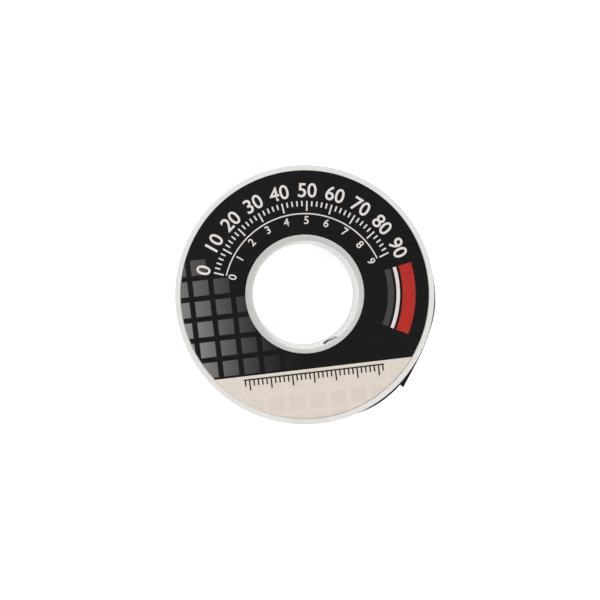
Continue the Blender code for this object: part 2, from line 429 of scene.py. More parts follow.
class Sketch:
    """Adds nodes to a material in few words."""

    def __init__(self, name: str) -> None:
        """Start a material with an output and a Principled shader.

        Args:
            name: Material name.
        """
        self.material = bpy.data.materials.new(name)
        self.material.use_nodes = True
        self.tree = self.material.node_tree
        self.shader = self.tree.nodes["Principled BSDF"]
        self.output = self.tree.nodes["Material Output"]

    def feed(self, socket: bpy.types.NodeSocket, value: object) -> None:
        """Link an input, or set its value, with full alpha for a colour of three parts.

        Args:
            socket: The input.
            value: Output socket, number, vector or colour.
        """
        if isinstance(value, bpy.types.NodeSocket):
            self.tree.links.new(value, socket)
        elif socket.type == "RGBA" and len(value) == 3:
            socket.default_value = (*value, 1.0)
        else:
            socket.default_value = value

    def add(self, kind: str, inputs: Optional[dict] = None, **settings: object) -> bpy.types.Node:
        """Add a node.

        Args:
            kind: Node type.
            inputs: Values or sockets for its inputs, by name or number.
            settings: Its own properties.

        Returns:
            The node.
        """
        node = self.tree.nodes.new(kind)
        for key, value in settings.items():
            setattr(node, key, value)
        for key, value in (inputs or {}).items():
            self.feed(node.inputs[key], value)
        return node

    def set(self, **values: object) -> None:
        """Set or link the shader's sockets, with underscores for spaces in their names."""
        for key, value in values.items():
            self.feed(self.shader.inputs[key.replace("_", " ")], value)

    def math(self, operation: str, *values: object, clamp: bool = False) -> bpy.types.NodeSocket:
        """Add a Math node and return its result."""
        made = self.add("ShaderNodeMath", dict(enumerate(values)), operation=operation, use_clamp=clamp)
        return made.outputs[0]

    def vector(self, operation: str, *values: object) -> bpy.types.NodeSocket:
        """Add a Vector Math node and return its result."""
        made = self.add("ShaderNodeVectorMath", dict(enumerate(values)), operation=operation)
        return made.outputs["Value" if operation in ("LENGTH", "DOT_PRODUCT") else "Vector"]

    def scaled(self, source: object, factor: object) -> bpy.types.NodeSocket:
        """Scale a vector or colour by a number or socket."""
        inputs = {"Vector": source, "Scale": factor}
        return self.add("ShaderNodeVectorMath", inputs, operation="SCALE").outputs["Vector"]

    def place(self) -> bpy.types.NodeSocket:
        """Coordinates of the piece in metres."""
        return self.add("ShaderNodeTexCoord").outputs["Object"]

    def run(self) -> bpy.types.NodeSocket:
        """Coordinates in metres along and across a swept piece."""
        return self.add("ShaderNodeUVMap", uv_map=RUN_MAP).outputs[0]

    def part(self, source: bpy.types.NodeSocket, axis: str) -> bpy.types.NodeSocket:
        """One part of a vector: X, Y or Z."""
        return self.add("ShaderNodeSeparateXYZ", {0: source}).outputs[axis]

    def axis_distance(self, source: bpy.types.NodeSocket) -> bpy.types.NodeSocket:
        """Distance from the spool's axis."""
        return self.vector("LENGTH", self.vector("MULTIPLY", source, (1.0, 1.0, 0.0)))

    def toward(self, source: bpy.types.NodeSocket, side: Point2) -> bpy.types.NodeSocket:
        """Distance from the spool's axis towards one side."""
        return self.vector("DOT_PRODUCT", source, (*side, 0.0))

    def noise(self, source: bpy.types.NodeSocket, scale: float, detail: float) -> bpy.types.NodeSocket:
        """Add a noise pattern.

        Args:
            source: Coordinates.
            scale: Features in a metre.
            detail: Octaves.

        Returns:
            The pattern, around 0.5.
        """
        inputs = {"Vector": source, "Scale": scale, "Detail": detail, "Roughness": 0.55}
        return self.add("ShaderNodeTexNoise", inputs, noise_dimensions="3D").outputs[0]

    def streaks(
        self, source: bpy.types.NodeSocket, scale: Point3, detail: float
    ) -> bpy.types.NodeSocket:
        """Add a noise pattern with its own number of features in a metre along each axis."""
        return self.noise(self.vector("MULTIPLY", source, scale), 1.0, detail)

    def remap(
        self,
        value: bpy.types.NodeSocket,
        low: float,
        high: float,
        to_low: float = 0.0,
        to_high: float = 1.0,
    ) -> bpy.types.NodeSocket:
        """Stretch a value from one range to another, held at both ends."""
        inputs = {0: value, 1: low, 2: high, 3: to_low, 4: to_high}
        return self.add("ShaderNodeMapRange", inputs, clamp=True).outputs[0]

    def mix(self, share: object, first: object, second: object) -> bpy.types.NodeSocket:
        """Mix two colours, from all of the first at 0 to all of the second at 1."""
        return self.add("ShaderNodeMix", {0: share, 6: first, 7: second}, data_type="RGBA").outputs[2]

    def bump(
        self, height: bpy.types.NodeSocket, strength: float, distance: float
    ) -> bpy.types.NodeSocket:
        """Turn a height pattern into a normal, with the depth in metres of a full step."""
        inputs = {"Height": height, "Strength": strength, "Distance": distance}
        return self.add("ShaderNodeBump", inputs).outputs[0]


@dataclass(frozen=True)
class MouldedPlastic:
    """Off-white moulded polystyrene: satin faces, a scuffed rim, painted shade on the mouths' chamfers
    and a polished bore.
    """

    body: Colour = (0.80, 0.785, 0.765)
    shade: Colour = (0.765, 0.745, 0.715)
    # Colour of real scuffs on the rim, also used as painted shade on the mouth's chamfer.
    scuff_and_shade: Colour = (0.58, 0.565, 0.54)
    rim_radius: float = 30.0 * MM
    scuff_width: float = 0.7 * MM
    scuff_share: float = 0.40
    bore_radius: float = 12.6 * MM
    bore_edge: Point2 = (0.02 * MM, 0.10 * MM)
    mouth_radius: float = 13.7 * MM
    mouth_edge: float = 0.05 * MM
    # Share of painted shade on the mouth's chamfer, for the shade that it gets as it faces into the
    # bore.
    mouth_shade: float = 0.32
    satin: Point2 = (0.34, 0.48)
    polish: Point2 = (0.13, 0.21)
    dry_side: Point2 = (-0.95, 0.30)
    dry_from: float = 0.2
    dull_side: Point2 = (0.80, -0.60)
    dull_from: float = 0.5
    dulling: Point2 = (-0.05, 0.10)
    tool_ring: float = 0.42 * MM
    tool_ring_share: float = 0.10
    bump: Point2 = (0.22, 0.05 * MM)

    def gloss(
        self, s: Sketch, here: bpy.types.NodeSocket, outside: bpy.types.NodeSocket
    ) -> bpy.types.NodeSocket:
        """Roughness: satin outside, and polished in the bore, less so on its dry and dull sides.

        Args:
            s: Material under construction.
            here: Coordinates of the piece.
            outside: 1 outside the bore and 0 in it.

        Returns:
            The roughness.
        """
        marks = s.noise(here, 260.0, 4.0)
        satin = s.remap(marks, *NOISE_SPAN, *self.satin)
        rubbing = s.toward(here, self.dull_side)
        duller = s.remap(rubbing, self.dull_from * self.bore_radius, self.bore_radius, *self.dulling)
        polished = s.math("ADD", s.remap(marks, *NOISE_SPAN, *self.polish), duller)
        drying = s.toward(here, self.dry_side)
        dry = s.remap(drying, self.dry_from * self.bore_radius, self.bore_radius)
        unpolished = s.math("MAXIMUM", outside, dry)
        mixed = s.add("ShaderNodeMix", {0: unpolished, 2: polished, 3: satin}, data_type="FLOAT")
        return mixed.outputs[0]

    def material(self) -> bpy.types.Material:
        """Make the material.

        Returns:
            The finished material.
        """
        s = Sketch("moulded_plastic")
        here = s.place()
        radius = s.axis_distance(here)
        cloudy = s.remap(s.noise(here, 70.0, 3.0), *NOISE_SPAN)
        base = s.mix(cloudy, self.body, self.shade)
        near_rim = s.remap(radius, self.rim_radius - self.scuff_width, self.rim_radius)
        patches = s.remap(s.noise(here, 420.0, 5.0), 0.54, 0.74, 0.0, self.scuff_share)
        near, far = self.bore_edge
        outside = s.remap(radius, self.bore_radius + near, self.bore_radius + far)
        # Painted shade: the mouth's chamfer is darkened towards the scuff colour, standing in for the
        # shade that it gets as it faces into the bore.
        in_mouth = s.remap(radius, self.mouth_radius - self.mouth_edge, self.mouth_radius, 1.0, 0.0)
        rubbed = s.math("MULTIPLY", s.math("MULTIPLY", outside, in_mouth), self.mouth_shade)
        # Real scuffs near the rim, together with the painted shade of the mouth.
        wear = s.math("MAXIMUM", rubbed, s.math("MULTIPLY", near_rim, patches))
        grain = s.noise(here, 2600.0, 2.0)
        rings = s.math("SINE", s.math("MULTIPLY", radius, 2.0 * math.pi / self.tool_ring))
        relief = s.math("ADD", grain, s.math("MULTIPLY", rings, self.tool_ring_share))
        s.set(
            Base_Color=s.mix(wear, base, self.scuff_and_shade),
            Roughness=self.gloss(s, here, outside),
            Normal=s.bump(s.math("MULTIPLY", relief, outside), *self.bump),
            Subsurface_Weight=0.10,
            Subsurface_Radius=(1.0, 0.9, 0.75),
            Subsurface_Scale=1.2 * MM,
        )
        return s.material


@dataclass(frozen=True)
class SquarePrint:
    """A plain grid of squares in the label's own directions."""

    pitch: float = 4.78 * MM
    side: float = 3.54 * MM
    soft: float = 0.10 * MM
    shift: Point2 = (-23.68 * MM, -0.48 * MM)

    def counted(self, s: Sketch, place: bpy.types.NodeSocket) -> bpy.types.NodeSocket:
        """Count the squares across and up, with whole numbers half way between squares."""
        moved = s.vector("SUBTRACT", place, (*self.shift, 0.0))
        return s.vector("ADD", s.scaled(moved, 1.0 / self.pitch), HALF_CELL)

    def centre(self, s: Sketch, place: bpy.types.NodeSocket) -> bpy.types.NodeSocket:
        """Find the middle of the square that a place belongs to."""
        corner = s.scaled(s.vector("FLOOR", self.counted(s, place)), self.pitch)
        return s.vector("ADD", corner, (*self.shift, 0.0))

    def mask(self, s: Sketch, place: bpy.types.NodeSocket) -> bpy.types.NodeSocket:
        """Mark the squares.

        Args:
            s: Material under construction.
            place: Coordinates in the label's own directions.

        Returns:
            1 in a square and 0 between squares.
        """
        inside = s.vector("FRACTION", self.counted(s, place))
        away = s.vector("ABSOLUTE", s.vector("SUBTRACT", inside, HALF_CELL))
        furthest = s.math("MAXIMUM", s.part(away, "X"), s.part(away, "Y"))
        half, soft = 0.5 * self.side / self.pitch, 0.5 * self.soft / self.pitch
        return s.remap(furthest, half - soft, half + soft, 1.0, 0.0)


@dataclass(frozen=True)
class PrintedFilm:
    """Printed label film: a field colour, squares that fade across it and fine handling marks."""

    name: str
    field: Colour
    squares: Colour
    tilt: float
    fade_from: float
    fade_to: float
    floor: float
    ceiling: float
    falloff: float
    diagonal: float = 1.0
    roughness: Point2 = (0.31, 0.46)
    specular: float = 0.20
    unevenness: Point2 = (0.98, 1.02)
    waviness: float = 6.0
    bump: Point2 = (0.12, 0.02 * MM)
    pattern: SquarePrint = SquarePrint()

    def strength(self, s: Sketch, place: bpy.types.NodeSocket) -> bpy.types.NodeSocket:
        """Strength of the squares: an even fade across, and one tone to a row.

        Args:
            s: Material under construction.
            place: Coordinates in the label's own directions.

        Returns:
            Share of the squares' colour.
        """
        middle = self.pattern.centre(s, place)
        right, up = s.part(middle, "X"), s.part(middle, "Y")
        across = s.remap(s.part(place, "X"), self.fade_from, self.fade_to, 1.0, 0.0)
        upward = s.remap(up, self.floor, self.ceiling, 1.0, 0.0)
        below = s.math("LESS_THAN", s.math("ADD", right, up), self.diagonal)
        row = s.math("MULTIPLY", upward, below)
        faded = s.math("MULTIPLY", s.math("POWER", across, self.falloff), row)
        return s.math("MULTIPLY", faded, self.pattern.mask(s, place))

    def material(self) -> bpy.types.Material:
        """Make the material.

        Returns:
            The finished material.
        """
        s = Sketch(self.name)
        here = s.place()
        turn = {"Vector": here, "Angle": -self.tilt}
        turned = s.add("ShaderNodeVectorRotate", turn, rotation_type="Z_AXIS").outputs[0]
        printed = s.mix(self.strength(s, turned), self.field, self.squares)
        tone = s.remap(s.noise(here, 900.0, 4.0), *NOISE_SPAN, *self.unevenness)
        rubbed = s.streaks(here, (260.0, 1700.0, 1.0), 4.0)
        waves = s.math("MULTIPLY", s.noise(here, 160.0, 1.0), self.waviness)
        relief = s.math("ADD", s.noise(here, 5200.0, 2.0), waves)
        s.set(
            Base_Color=s.scaled(printed, tone),
            Roughness=s.remap(rubbed, 0.35, 0.70, *self.roughness),
            Specular_IOR_Level=self.specular,
            Normal=s.bump(relief, *self.bump),
        )
        return s.material


@dataclass(frozen=True)
class PrintedInk:
    """Flat ink on the label, a little uneven where it took to the film."""

    name: str
    colour: Colour
    thin_share: float = 0.88
    roughness: Point2 = (0.36, 0.48)
    specular: float = 0.30
    bump: Point2 = (0.10, 0.02 * MM)

    def material(self) -> bpy.types.Material:
        """Make the material.

        Returns:
            The finished material.
        """
        s = Sketch(self.name)
        here = s.place()
        thin = tuple(self.thin_share * part for part in self.colour)
        uneven = s.remap(s.noise(here, 1400.0, 4.0), 0.45, 0.75)
        s.set(
            Base_Color=s.mix(uneven, self.colour, thin),
            Roughness=s.remap(s.noise(here, 800.0, 3.0), *NOISE_SPAN, *self.roughness),
            Specular_IOR_Level=self.specular,
            Normal=s.bump(s.noise(here, 5200.0, 2.0), *self.bump),
        )
        return s.material


@dataclass(frozen=True)
class DrawnSolder:
    """Drawn tin-lead wire: bright grey metal with draw lines round the spool and dull patches."""

    bright: Colour = BRIGHT_SOLDER
    dull: Colour = (0.44, 0.44, 0.445)
    roughness: Point2 = (0.24, 0.38)
    line_roughness: float = 0.08
    bump: Point2 = (0.20, 0.01 * MM)

    def material(self) -> bpy.types.Material:
        """Make the material.

        Returns:
            The finished material.
        """
        s = Sketch("drawn_solder")
        here = s.place()
        patches = s.remap(s.streaks(here, (90.0, 90.0, 2200.0), 4.0), 0.40, 0.68)
        lines = s.streaks(here, (160.0, 160.0, 16000.0), 2.0)
        patchy = s.remap(patches, 0.0, 1.0, *self.roughness)
        s.set(
            Base_Color=s.mix(patches, self.bright, self.dull),
            Metallic=1.0,
            Roughness=s.math("ADD", patchy, s.math("MULTIPLY", lines, self.line_roughness)),
            Normal=s.bump(lines, *self.bump),
        )
        return s.material


@dataclass(frozen=True)
class ShadedSolder:
    """The wire's start end: bright towards the bore, with painted shade on the wall side and at its tip,
    for the wire's shadow against the bore wall.
    """

    length: float
    wall_radius: float
    bright: Colour = BRIGHT_SOLDER
    # Colour of the painted shade.
    painted_shade: Colour = (0.030, 0.026, 0.022)
    wall_side: Point2 = (0.52 * MM, 0.34 * MM)
    # Lengths from the tip of the painted shade on the wall side and of the full painted shade at the
    # tip.
    shaded_run: float = 3.2 * MM
    dark_run: float = 2.3 * MM
    tip_share: float = 0.9
    unevenness: float = 0.15
    metallic: Point2 = (1.0, 0.3)
    roughness: Point2 = (0.26, 0.50)
    bump: Point2 = (0.15, 0.01 * MM)

    def material(self) -> bpy.types.Material:
        """Make the material.

        Returns:
            The finished material.
        """
        s = Sketch("shaded_solder")
        here = s.place()
        along = s.part(s.run(), "X")
        far, near = self.wall_side
        outward = s.remap(s.axis_distance(here), self.wall_radius - far, self.wall_radius - near)
        dark = self.length - self.dark_run
        tail = s.remap(along, self.length - self.shaded_run, dark)
        tip = s.remap(along, dark, self.length - 0.5 * self.dark_run, 0.0, self.tip_share)
        grain = s.noise(here, 2600.0, 3.0)
        uneven = s.remap(grain, *NOISE_SPAN, -self.unevenness, self.unevenness)
        # Painted shade: darker on the wall side towards the tip and darkest at the tip, for the wire's
        # shadow on the bore wall.
        shadowed = s.math("MAXIMUM", s.math("MULTIPLY", outward, tail), tip)
        share = s.math("ADD", shadowed, uneven, clamp=True)
        s.set(
            Base_Color=s.mix(share, self.bright, self.painted_shade),
            Metallic=s.remap(share, 0.0, 1.0, *self.metallic),
            Roughness=s.remap(share, 0.0, 1.0, *self.roughness),
            Normal=s.bump(s.noise(here, 5200.0, 2.0), *self.bump),
        )
        return s.material


@dataclass(frozen=True)
class StripPlastic:
    """Dark springy strip with fine grain, lengthwise scuffs and paler worn edges."""

    body: Colour = (0.052, 0.049, 0.047)
    worn: Colour = (0.105, 0.100, 0.096)
    half_width: float = 10.0 * MM
    edge_width: float = 0.5 * MM
    scuff_share: float = 0.85
    chip_share: float = 0.9
    roughness: Point2 = (0.28, 0.56)
    specular: float = 0.42
    bump: Point2 = (0.25, 0.04 * MM)

    def material(self) -> bpy.types.Material:
        """Make the material.

        Returns:
            The finished material.
        """
        s = Sketch("strip_plastic")
        run = s.run()
        across = s.math("ABSOLUTE", s.part(run, "Y"))
        streaks = s.streaks(run, (120.0, 2600.0, 1.0), 5.0)
        scuffs = s.remap(streaks, 0.54, 0.78, 0.0, self.scuff_share)
        edge = s.remap(across, self.half_width - self.edge_width, self.half_width)
        chips = s.remap(s.noise(run, 700.0, 4.0), 0.42, 0.62, 0.0, self.chip_share)
        wear = s.math("MAXIMUM", scuffs, s.math("MULTIPLY", edge, chips))
        s.set(
            Base_Color=s.mix(wear, self.body, self.worn),
            Roughness=s.remap(streaks, *NOISE_SPAN, *self.roughness),
            Specular_IOR_Level=self.specular,
            Normal=s.bump(s.noise(run, 4200.0, 3.0), *self.bump),
        )
        return s.material


@dataclass(frozen=True)
class FluxRosin:
    """Amber rosin in the wire's core, as a cut end shows it."""

    colour: Colour = (0.42, 0.20, 0.045)
    dark_share: float = 0.6
    roughness: float = 0.22

    def material(self) -> bpy.types.Material:
        """Make the material.

        Returns:
            The finished material.
        """
        s = Sketch("flux_rosin")
        cloudy = s.remap(s.noise(s.place(), 9000.0, 3.0), *NOISE_SPAN)
        dark = tuple(self.dark_share * part for part in self.colour)
        s.set(Base_Color=s.mix(cloudy, self.colour, dark), Roughness=self.roughness)
        return s.material


@dataclass(frozen=True)
class PaperSweep:
    """Pale studio sweep that shows as white behind the object and keeps its shadow."""

    colour: Colour = (0.80, 0.80, 0.80)
    fibre: Point2 = (0.97, 1.0)
    roughness: float = 0.9
    specular: float = 0.1
    lift: float = 0.78

    def material(self) -> bpy.types.Material:
        """Make the material.

        Returns:
            The finished material.
        """
        s = Sketch("paper_sweep")
        fibre = s.remap(s.noise(s.place(), 900.0, 3.0), *NOISE_SPAN, *self.fibre)
        paper = s.scaled(self.colour, fibre)
        s.set(Base_Color=paper, Roughness=self.roughness, Specular_IOR_Level=self.specular)
        path = s.add("ShaderNodeLightPath")
        seen = s.math("MAXIMUM", path.outputs["Is Camera Ray"], path.outputs["Is Glossy Ray"])
        seen = s.math("MAXIMUM", seen, path.outputs["Is Transmission Ray"])
        lit = {"Color": (1.0, 1.0, 1.0), "Strength": s.math("MULTIPLY", seen, self.lift)}
        glow = s.add("ShaderNodeEmission", lit)
        both = s.add("ShaderNodeAddShader", {0: s.shader.outputs[0], 1: glow.outputs[0]})
        s.feed(s.output.inputs["Surface"], both.outputs[0])
        return s.material


# The spool


@dataclass
class Bobbin:
    """The moulded halves: flanges, chamfered mouths of the bore, and the plugged barrel."""

    flange_radius: float
    width: float
    spigot_top: float
    finish: MouldedPlastic = MouldedPlastic()
    flange_thickness: float = 1.8 * MM
    flange_slope: float = 0.4 * MM
    rim_width: float = 1.24 * MM
    rim_round: float = 0.25 * MM
    bead_round: float = 0.12 * MM
    recess: float = 0.3 * MM
    bore_radius: float = 12.6 * MM
    bore_draft: float = 0.1 * MM
    mouth_chamfer: float = 1.1 * MM
    mouth_round: float = 0.10 * MM
    barrel_wall: float = 1.6 * MM
    root_fillet: float = 0.8 * MM
    spigot_length: float = 4.0 * MM
    spigot_wall: float = 0.7 * MM
    plug_clearance: float = 0.1 * MM
    seam_chamfer: float = 0.12 * MM
    start_hole_radius: float = 0.42 * MM
    start_hole_offset: float = 1.4 * MM
    start_hole_deg: float = 53.0
    start_hole_overrun: float = 1.0 * MM
    start_hole_sides: int = 24
    bead_steps: int = 3
    round_steps: int = 7
    steps: int = 192

    @property
    def seam_bore(self) -> float:
        """Radius of the bore at the seam, where the draft is at its narrowest."""
        return self.bore_radius - self.bore_draft

    @property
    def barrel_radius(self) -> float:
        """Outer radius of the barrel."""
        return self.bore_radius + self.barrel_wall

    @property
    def root_depth(self) -> float:
        """Flange thickness at the barrel."""
        return self.flange_thickness + self.flange_slope

    @property
    def start_height(self) -> float:
        """Height of the hole that the wire's start end passes."""
        return self.width - self.root_depth - self.start_hole_offset

    def inner_depth(self, radius: float) -> float:
        """Find the depth of the flange's inner face below its outer one.

        Args:
            radius: Distance from the axis.

        Returns:
            The depth there.
        """
        outer = self.flange_radius - self.rim_round
        inner = self.barrel_radius + self.root_fillet
        return self.flange_thickness + self.flange_slope * (outer - radius) / (outer - inner)

    def flange_outline(self) -> list[Point2]:
        """Draw the flange, from the recess round the rim to the barrel.

        Returns:
            Radius and depth of each corner.
        """
        bead = self.flange_radius - self.rim_width
        rim = self.flange_radius - self.rim_round
        root = (self.barrel_radius + self.root_fillet, self.root_depth + self.root_fillet)
        tight, turn = self.bead_round, self.round_steps
        points = [(bead, self.recess)]
        points += arc((bead + tight, tight), tight, 180, 270, self.bead_steps)
        points += arc((rim, self.rim_round), self.rim_round, -90, 0, turn)
        points += arc((rim, self.flange_thickness - self.rim_round), self.rim_round, 0, 90, turn)
        points += arc(root, self.root_fillet, 270, 180, turn)
        return points

    def mouth_outline(self) -> list[Point2]:
        """Draw the mouth, from the bore's throat up its chamfer to the recess.

        Returns:
            Radius and depth of each corner.
        """
        seam = (self.seam_bore, self.width - self.spigot_top)
        throat = (self.bore_radius, self.recess + self.mouth_chamfer)
        lip = (self.bore_radius + self.mouth_chamfer, self.recess)
        face = (self.flange_radius, self.recess)
        points = rounded_corner(seam, throat, lip, self.mouth_round)
        return points + rounded_corner(throat, lip, face, self.mouth_round)

    def front_half(self) -> bpy.types.Object:
        """Build the front half, with its socket and the wire's start hole.

        Returns:
            The front half.
        """
        seam = self.spigot_top - self.spigot_length + self.plug_clearance
        top = self.spigot_top + self.plug_clearance
        socket = self.seam_bore + self.spigot_wall + self.plug_clearance
        chamfer = self.seam_chamfer
        profile = [(radius, self.width - depth) for radius, depth in self.flange_outline()]
        profile += [(self.barrel_radius, seam), (socket, seam), (socket, top)]
        profile += [(self.seam_bore + chamfer, top), (self.seam_bore, top + chamfer)]
        profile += [(radius, self.width - depth) for radius, depth in self.mouth_outline()]
        half = lathe("front_half_moulding", profile, self.steps)
        inner = self.bore_radius - self.start_hole_overrun
        outer = self.barrel_radius + self.start_hole_overrun
        inside = clockwise(inner, self.start_hole_deg, self.start_height)
        outside = clockwise(outer, self.start_hole_deg, self.start_height)
        cut(half, rod("start_hole", inside, outside, self.start_hole_radius, self.start_hole_sides))
        return half

    def rear_half(self) -> bpy.types.Object:
        """Build the rear half, with the spigot that plugs into the front half.

        Returns:
            The rear half.
        """
        seam = self.spigot_top - self.spigot_length
        spigot = self.seam_bore + self.spigot_wall
        chamfer = self.seam_chamfer
        profile = [(spigot, self.spigot_top), (spigot, seam), (self.barrel_radius, seam)]
        profile += reversed(self.flange_outline())
        profile += reversed(self.mouth_outline())
        profile.append((self.seam_bore, self.spigot_top - chamfer))
        profile.append((self.seam_bore + chamfer, self.spigot_top))
        return lathe("rear_half_moulding", profile, self.steps)

    def build(self) -> None:
        """Build and dress both halves."""
        plastic = self.finish.material()
        for half, node in ((self.front_half(), "front_half"), (self.rear_half(), "rear_half")):
            seat(half, plastic, [node])


@dataclass(frozen=True)
class NumberRow:
    """A row of plain numbers along the label's scale, with their feet to the bore."""

    name: str
    step: int
    height: float
    foot_radius: float


@dataclass(frozen=True)
class Stripe:
    """One of the plain colour stripes at the label's right."""

    name: str
    inner: float
    outer: float


@dataclass
class Label:
    """The round label: black film, cream segment, a plain number scale and colour stripes."""

    outer_radius: float
    low: float
    high: float
    inner_radius: float = 13.73 * MM
    tilt_deg: float = 6.6
    off_centre: Point2 = (0.0, 0.12 * MM)
    hole_shift: Point2 = (-0.04 * MM, 0.08 * MM)
    edge_round: float = 0.03 * MM
    ink: float = 0.010 * MM
    segment_distance: float = 17.23 * MM
    scale_half_deg: float = 70.0
    scale_marks_count: int = 9
    digit_share: float = 0.70
    digit_bold: float = 0.016
    digit_steps: int = 8
    digit_weld: float = 0.001 * MM
    tick_outer: float = 21.6 * MM
    tick_long: float = 2.3 * MM
    tick_short: float = 1.2 * MM
    tick_width: float = 0.34 * MM
    ticks_between: int = 5
    scale_gap: float = 0.5 * MM
    scale_line: float = 0.28 * MM
    ruler_half: int = 16
    ruler_top: float = -18.3 * MM
    ruler_long: float = 2.3 * MM
    ruler_short: float = 1.3 * MM
    ruler_long_every: int = 5
    stripe_from_deg: float = -17.0
    stripe_to_deg: float = 21.0
    stripe_steps: int = 32
    line_steps: int = 96
    steps: int = 192
    outer_numbers: NumberRow = NumberRow("label_outer_numbers", 10, 3.2 * MM, 22.5 * MM)
    inner_numbers: NumberRow = NumberRow("label_inner_numbers", 1, 1.8 * MM, 16.3 * MM)
    red_stripe: Stripe = Stripe("label_red_stripe", 22.6 * MM, 25.6 * MM)
    white_stripe: Stripe = Stripe("label_white_stripe", 21.2 * MM, 22.0 * MM)
    grey_stripe: Stripe = Stripe("label_grey_stripe", 19.2 * MM, 20.6 * MM)

    def top_angle(self, degrees: float) -> float:
        """Clockwise angle from +X of a place on the label, given from the label's own top."""
        return 270.0 - self.tilt_deg + degrees

    def film(self) -> bpy.types.Object:
        """Build the die-cut film ring, whose hole is punched a little off its middle.

        Returns:
            The film.
        """
        inner, outer, turn = self.inner_radius, self.outer_radius, self.edge_round
        profile = [(inner, self.low), (inner, self.high - turn), (inner + turn, self.high)]
        profile += [(outer - turn, self.high), (outer, self.high - turn), (outer, self.low)]
        ring = lathe("label_film", profile, self.steps)
        for corner in ring.data.vertices:
            if corner.co.xy.length < (inner + outer) / 2:
                corner.co += Vector((*self.hole_shift, 0.0))
        return ring

    def segment(self) -> bpy.types.Object:
        """Build the cream segment below the straight split, down over the label's cut edge.

        Returns:
            The segment.
        """
        radius = self.outer_radius + self.ink / 2
        half = math.degrees(math.acos(self.segment_distance / radius))
        below = 90.0 - self.tilt_deg
        outline = arc((0.0, 0.0), radius, -(below - half), -(below + half), self.line_steps)
        return prisms("label_cream_segment", [outline], self.low + self.edge_round, self.high + self.ink)

    def tick(self, degrees: float, inner: float, outer: float) -> list[Point2]:
        """Outline of a tick mark.

        Args:
            degrees: Place on the label, from its own top.
            inner: Radius of its inner end.
            outer: Radius of its outer end.

        Returns:
            Its four corners.
        """
        angle = math.radians(-self.top_angle(degrees))
        out = Vector((math.cos(angle), math.sin(angle)))
        side = Vector((-out.y, out.x)) * (self.tick_width / 2)
        corners = (out * inner - side, out * outer - side, out * outer + side, out * inner + side)
        return [(corner.x, corner.y) for corner in corners]

    def scale_marks(self) -> bpy.types.Object:
        """Build the scale's ticks and its line.

        Returns:
            The marks.
        """
        count = self.scale_marks_count * self.ticks_between
        outlines = []
        for i in range(count + 1):
            reach = self.tick_short if i % self.ticks_between else self.tick_long
            place = self.scale_half_deg * (2.0 * i / count - 1.0)
            outlines.append(self.tick(place, self.tick_outer - reach, self.tick_outer))
        start, end = self.top_angle(-self.scale_half_deg), self.top_angle(self.scale_half_deg)
        line = self.tick_outer - self.tick_long - self.scale_gap
        outlines.append(arc_band(line - self.scale_line, line, start, end, self.line_steps))
        return prisms("label_scale_marks", outlines, self.high - self.ink, self.high + self.ink)

    def ruler_marks(self) -> bpy.types.Object:
        """Build a plain millimetre rule on the cream segment: a line, longer than its row of ticks.

        Returns:
            The marks.
        """
        turn = Matrix.Rotation(math.radians(self.tilt_deg), 2)
        half, top = self.tick_width / 2, self.ruler_top
        end = self.ruler_half * MM + self.tick_width
        boxes = [(-end, end, top, top + self.tick_width)]
        for i in range(-self.ruler_half, self.ruler_half + 1):
            reach = self.ruler_short if i % self.ruler_long_every else self.ruler_long
            boxes.append((i * MM - half, i * MM + half, top - reach, top))
        outlines = []
        for left, right, low, high in boxes:
            corners = ((left, low), (right, low), (right, high), (left, high))
            outlines.append([tuple(turn @ Vector(corner)) for corner in corners])
        low, high = self.high + self.ink / 2, self.high + 2.0 * self.ink
        return prisms("label_ruler_marks", outlines, low, high)

    def number(self, row: NumberRow, count: int) -> bpy.types.Mesh:
        """Set one number of a row at its place on the scale.

        Args:
            row: The row that it belongs to.
            count: Its long tick, from the scale's start.

        Returns:
            The number's mesh, which its user removes.
        """
        text = bpy.data.curves.new("number", "FONT")
        text.body = str(count * row.step)
        text.size = row.height / self.digit_share
        text.align_x = "CENTER"
        text.extrude = self.ink
        text.resolution_u = self.digit_steps
        holder = bpy.data.objects.new("number", text)
        bpy.context.scene.collection.objects.link(holder)
        graph = bpy.context.evaluated_depsgraph_get()
        mesh = bpy.data.meshes.new_from_object(holder.evaluated_get(graph))
        bpy.data.objects.remove(holder, do_unlink=True)
        place = self.scale_half_deg * (2.0 * count / self.scale_marks_count - 1.0)
        angle = math.radians(-self.top_angle(place))
        foot = Vector((math.cos(angle), math.sin(angle), 0.0)) * row.foot_radius
        foot.z = self.high
        mesh.transform(Matrix.Translation(foot) @ Matrix.Rotation(angle - math.pi / 2, 4, "Z"))
        return mesh

    def numbers(self, row: NumberRow) -> bpy.types.Object:
        """Build a row of plain numbers.

        Args:
            row: What it counts, its height and its place.

        Returns:
            The row.
        """
        shape = bmesh.new()
        for i in range(self.scale_marks_count + 1):
            mesh = self.number(row, i)
            shape.from_mesh(mesh)
            bpy.data.meshes.remove(mesh)
        bmesh.ops.remove_doubles(shape, verts=shape.verts, dist=self.digit_weld)
        fatten(shape, self.digit_bold * row.height)
        return new_object(row.name, shape)

    def stripe(self, band: Stripe) -> bpy.types.Object:
        """Build a colour stripe.

        Args:
            band: Its name and radii.

        Returns:
            The stripe.
        """
        ends = (self.stripe_from_deg, self.stripe_to_deg)
        outline = arc_band(band.inner, band.outer, *ends, self.stripe_steps)
        return prisms(band.name, [outline], self.high - self.ink, self.high + self.ink)

    def black_film(self) -> PrintedFilm:
        """Choose the finish of the black film, whose pale squares fade to the right and upward.

        Returns:
            The finish.
        """
        return PrintedFilm(
            "black_label_film",
            field=(0.0036, 0.0032, 0.0032),
            squares=(0.326, 0.309, 0.307),
            tilt=math.radians(self.tilt_deg),
            fade_from=-29.0 * MM,
            fade_to=2.0 * MM,
            floor=-8.5 * MM,
            ceiling=20.0 * MM,
            falloff=3.0,
            diagonal=-12.0 * MM,
        )

